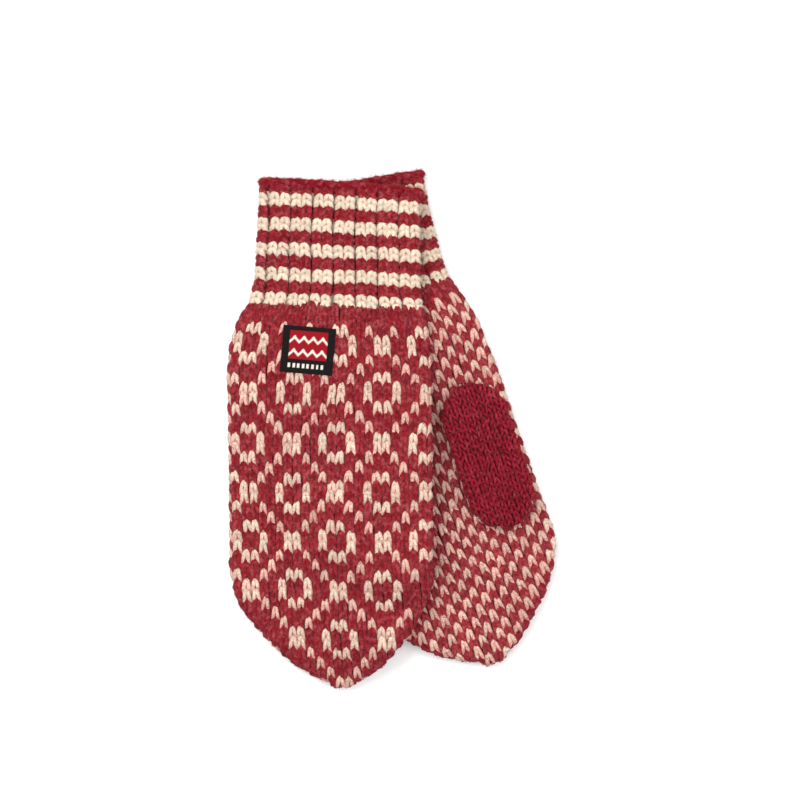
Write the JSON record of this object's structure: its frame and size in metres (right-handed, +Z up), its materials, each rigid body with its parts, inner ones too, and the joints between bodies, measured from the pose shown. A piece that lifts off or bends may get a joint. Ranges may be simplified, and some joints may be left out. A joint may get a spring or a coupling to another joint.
{
  "type": "knitted mittens",
  "caption": "Pair of knitted wool mittens lying flat, one over the other: ribbed striped cuffs, ring-patterned back, checked palm, plain thumbs and a small woven label.",
  "frame": {"origin": "centre of the pair's box, on the surface that the pair lies on", "axes": "+Y from the fingertips towards the cuffs, +Z up from the surface, +X towards the side where the lower mitten shows"},
  "size_m": [0.1722, 0.2732, 0.0401],
  "materials": {
    "cuff_wool": "2 by 1 ribbed wool knit, cream and red stripes",
    "back_wool": "stranded wool knit, cream rings on red, lightly felted",
    "palm_wool": "stranded wool knit, one-stitch check in cream and red",
    "thumb_wool": "plain red stocking stitch wool",
    "label_cloth": null
  },
  "bodies": {
    "left_hand": {"left_back_panel": "back_wool", "left_palm_panel": "palm_wool"},
    "left_thumb": {"left_thumb": "thumb_wool"},
    "left_cuff": {"left_cuff": "cuff_wool"},
    "right_hand": {"right_back_panel": "back_wool", "right_palm_panel": "palm_wool", "right_label": "label_cloth"},
    "right_thumb": {"right_thumb": "thumb_wool"},
    "right_cuff": {"right_cuff": "cuff_wool"}
  },
  "joints": [
    {"name": "pair_lift", "type": "slide", "parent": "left_hand", "child": "right_hand", "axis": [0, 0, 1], "range_m": [0, 0.12]},
    {"name": "left_thumb_swing", "type": "hinge", "parent": "left_hand", "child": "left_thumb", "pos_m": [0.03885, 0.02288, 0.0144], "axis": [-0.9475, -0.3198, 0], "range_deg": [0, 45]},
    {"name": "right_thumb_swing", "type": "hinge", "parent": "right_hand", "child": "right_thumb", "pos_m": [0.00063, 0.0077, 0.0257], "axis": [1, 0.0099, 0], "range_deg": [0, 60]},
    {"name": "left_cuff_bend", "type": "hinge", "parent": "left_hand", "child": "left_cuff", "pos_m": [-0.00843, 0.06603, 0.0142], "axis": [0.9475, 0.3198, 0], "range_deg": [0, 35]},
    {"name": "right_cuff_bend", "type": "hinge", "parent": "right_hand", "child": "right_cuff", "pos_m": [-0.02643, 0.06343, 0.029], "axis": [1, 0, 0], "range_deg": [0, 45]}
  ],
  "couplings": [
    {"joint": "right_thumb_swing", "follows": "pair_lift", "rad_per_m": 8.72},
    {"joint": "left_cuff_bend", "follows": "pair_lift", "rad_per_m": 5.09}
  ]
}
